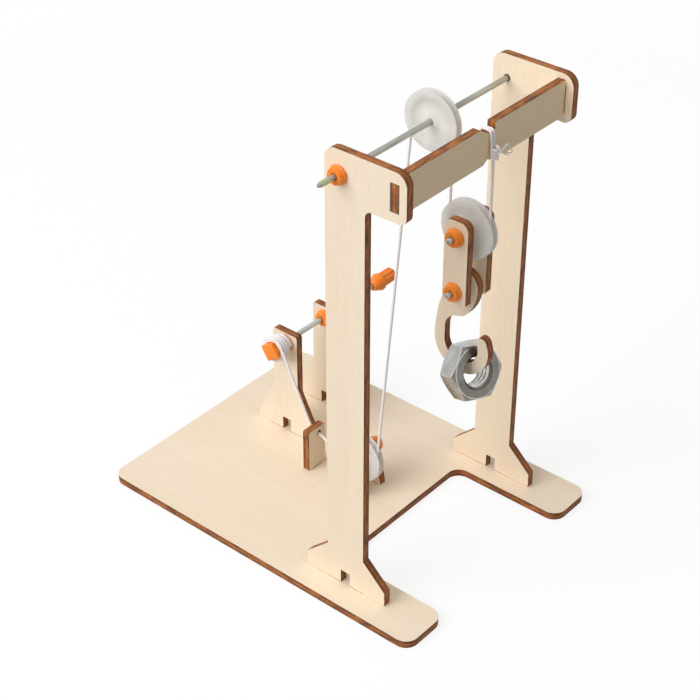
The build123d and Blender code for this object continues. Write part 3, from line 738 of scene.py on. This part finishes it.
for bends in ([(59.4, 4.4, 164.4), (59.3, 6.2, 165.0)],
              [(59.6, 4.6, 164.6), (59.2, 6.6, 165.2), (59.6, 7.2, 163.4), (59.8, 8.8, 161.6)],
              [(59.5, 4.6, 163.0), (59.8, 8.3, 161.2)],
              [(60.1, 4.0, 162.6), (59.9, 6.0, 161.6)],
              [(59.2, 4.6, 162.4), (59.3, 7.4, 160.6)]):
    strand, _ = route_line([tail] + bends, 0.2)
    lay_cord(bm, strand, 0.0, along_z, lambda share: frayed_size * (1 - frayed_taper * share),
             plain_radius, 10)
put(new_piece("cord_knot_on_beam", bm, cotton_finish, 80), "frame", "cord", "cord_beam_tie")


# The wound cord has an inner layer along the whole core and a shorter outer one by the head,
# which is where the cord leaves it.
def wound(turns, radius, start, end, first_angle):
    """Route of a layer of turns; it swells and leans a little, as cord wound by hand does."""
    steps = round(turns * 12)
    reach = radius / cos(pi / 12)
    route = []
    for step in range(steps + 1):
        angle = first_angle + 2 * pi * step / 12
        swell = 1 + 0.012 * sin(1.7 * angle) + 0.01 * sin(0.61 * angle)
        y = start + (end - start) * step / steps + 0.10 * sin(0.43 * angle)
        out = reach * swell
        route.append((winch_x + out * cos(angle), y, winch_z + out * sin(angle)))
    return route


inner = wound(turns=5.5, radius=3.92, start=8.0, end=2.35, first_angle=radians(10))
outer = wound(turns=3.75, radius=4.85, start=2.3, end=5.9, first_angle=radians(30))
bm = bmesh.new()
wound_length = 0
for layer in (inner, outer):
    line, length = route_line(layer, 0.28)
    lay_cord(bm, line)
    wound_length += length
put(new_piece("cord_on_drum", bm, cotton_finish, 80), "winch", "cord", "cord_drum_winding")


# Camera. It stands where the photograph was taken from, found by fitting it to the plywood.
camera = bpy.data.objects.new("camera", bpy.data.cameras.new("camera"))
bpy.context.scene.collection.objects.link(camera)
bpy.context.scene.camera = camera
photo_pixels, focal_pixels = 700, 1759.62
camera.data.sensor_width = 36.0
camera.data.lens = camera.data.sensor_width * focal_pixels / photo_pixels
camera.data.clip_start = 0.01
camera.location = Vector((335.4, -396.0, 424.35)) * mm
aim = Vector((0.65, 0.0, 64.09)) * mm
camera.rotation_euler = (aim - camera.location).to_track_quat("-Z", "Y").to_euler()


# Studio. A wide white table top under soft light from the front left, bright enough that the
# colours come out as they are. The table keeps the model's shadow.
def seen_directly(add):
    """1 for what the camera, a reflection or clear plastic sees, 0 for light on a surface."""
    camera_ray = add("LightPath", {}, 0)
    glossy = add("LightPath", {}, 3)
    clear = add("LightPath", {}, 6)
    most = add("Math", {0: camera_ray, 1: glossy}, operation="MAXIMUM")
    return add("Math", {0: most, 1: clear}, operation="MAXIMUM")


bm = bmesh.new()
bmesh.ops.create_grid(bm, x_segments=2, y_segments=2, size=12.0)
finish, shader, wire, add = new_finish("white_table")
seen = seen_directly(add)
matt = add("BsdfDiffuse", {"Color": (0.5, 0.5, 0.5, 1)})
shade = add("BsdfDiffuse", {"Color": (0.21, 0.21, 0.21, 1)})
away = add("VectorMath", {0: add("TexCoord", {}, 3)}, 1, operation="LENGTH")
away = add("MapRange", {"Value": away, "From Min": 0.4, "From Max": 1.8, "To Min": 0.8,
                        "To Max": 0.92})
glow = add("Emission", {"Color": (1, 1, 1, 1), "Strength": away})
white = add("AddShader", {0: shade, 1: glow})
surface = add("MixShader", {0: seen, 1: matt, 2: white})
wire(finish.node_tree.nodes["Material Output"], {"Surface": surface})
table = new_piece("table_top", bm, finish)

world = bpy.data.worlds.new("studio")
bpy.context.scene.world = world
world.use_nodes = True
tree = world.node_tree
tree.nodes.clear()
wire, add = node_tools(tree)
strength = add("MapRange", {"Value": seen_directly(add), "To Min": 0.36, "To Max": 1.0})
sky = add("Background", {"Color": (1, 1, 1, 1), "Strength": strength})
wire(tree.nodes.new("ShaderNodeOutputWorld"), {"Surface": sky})


def soft_lamp(name, way, distance, size, level):
    """A round softbox; at level 1 it lights a surface that faces it to its own colour."""
    lamp = bpy.data.objects.new(name, bpy.data.lights.new(name, "AREA"))
    bpy.context.scene.collection.objects.link(lamp)
    lamp.data.shape = "DISK"
    lamp.data.size = size
    lamp.data.energy = level * pi * pi * distance**2
    lamp.location = aim + Vector(way).normalized() * distance
    lamp.rotation_euler = (aim - lamp.location).to_track_quat("-Z", "Y").to_euler()


soft_lamp("front_softbox", (-0.30, -0.78, 0.55), distance=2.6, size=2.2, level=0.75)
soft_lamp("top_softbox", (-0.25, -0.10, 0.96), distance=2.6, size=2.2, level=0.29)

bpy.context.scene.view_settings.view_transform = "Standard"

print(f"cord lengths in mm: run {run_length / mm:.1f}, hoisting {hoist_length / mm:.1f}, "
      f"bight {bight_length / mm:.1f}, standing {standing_length / mm:.1f}, "
      f"tie {tie_length / mm:.1f}, on the drum {wound_length / mm:.1f}")
